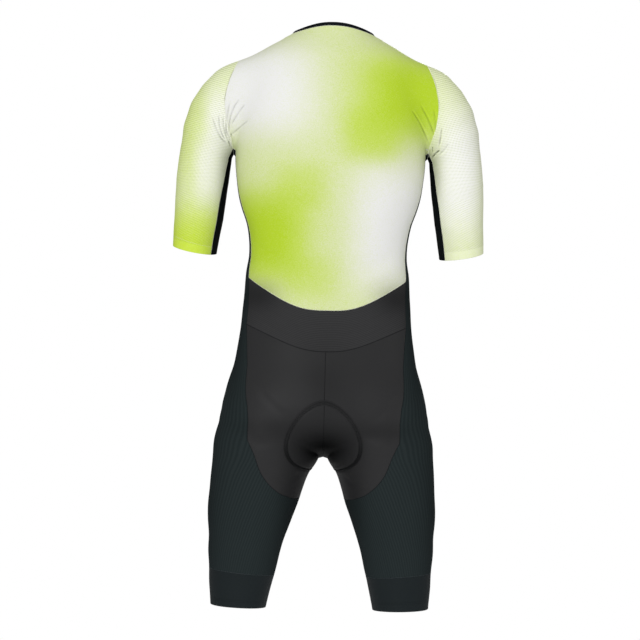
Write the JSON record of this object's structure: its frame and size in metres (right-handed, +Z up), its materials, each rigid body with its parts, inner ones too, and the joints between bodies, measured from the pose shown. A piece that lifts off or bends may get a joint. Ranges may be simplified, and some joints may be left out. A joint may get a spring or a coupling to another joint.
{
  "type": "triathlon suit",
  "caption": "One-piece triathlon suit with elbow-length sleeves, legs to above the knee, a front zip and a thin seat pad, filled out as worn.",
  "frame": {"origin": "middle of the neck at shoulder height, where the wearer's shoulders hold the suit up", "axes": "+Z up along the body, front towards -Y, the wearer's left towards +X"},
  "size_m": [0.5394, 0.2342, 1.0068],
  "materials": {
    "printed_lycra": "smooth stretch lycra with a soft printed fade",
    "printed_sleeve_mesh": "fine dotted stretch mesh with a soft printed fade",
    "black_lycra": "matt stretch lycra",
    "ribbed_leg_lycra": "matt stretch lycra with fine upright ribs",
    "ribbed_waist_lycra": "stretch lycra with fine level ribs",
    "smooth_seat_lycra": "smooth lycra with a slight sheen",
    "gripper_band": "smooth elastic gripper band",
    "pad_fleece": "brushed fleece over thin foam",
    "zip_coil": "nylon coil on woven tape",
    "gunmetal": "satin gunmetal"
  },
  "bodies": {
    "suit": {"collar": "black_lycra", "back_panel": "printed_lycra", "front_left": "printed_lycra", "front_right": "printed_lycra", "waistband": "ribbed_waist_lycra", "seat_left": "smooth_seat_lycra", "seat_right": "smooth_seat_lycra", "front_lower": "black_lycra", "side_panel_left": "ribbed_leg_lycra", "side_panel_right": "ribbed_leg_lycra", "thigh_left": "ribbed_leg_lycra", "thigh_right": "ribbed_leg_lycra", "leg_band_left": "gripper_band", "leg_band_right": "gripper_band", "sleeve_left": "printed_sleeve_mesh", "sleeve_right": "printed_sleeve_mesh", "underarm_left": "black_lycra", "underarm_right": "black_lycra", "seat_pad": "pad_fleece", "zip_tape": "zip_coil", "zip_slider": "gunmetal"},
    "zip_tab": {"zip_pull": "gunmetal"}
  },
  "joints": [
    {"name": "zip_tab_swing", "type": "hinge", "parent": "suit", "child": "zip_tab", "pos_m": [0, -0.07866, -0.04435], "axis": [-1, 0, 0], "range_deg": [0, 170]}
  ]
}
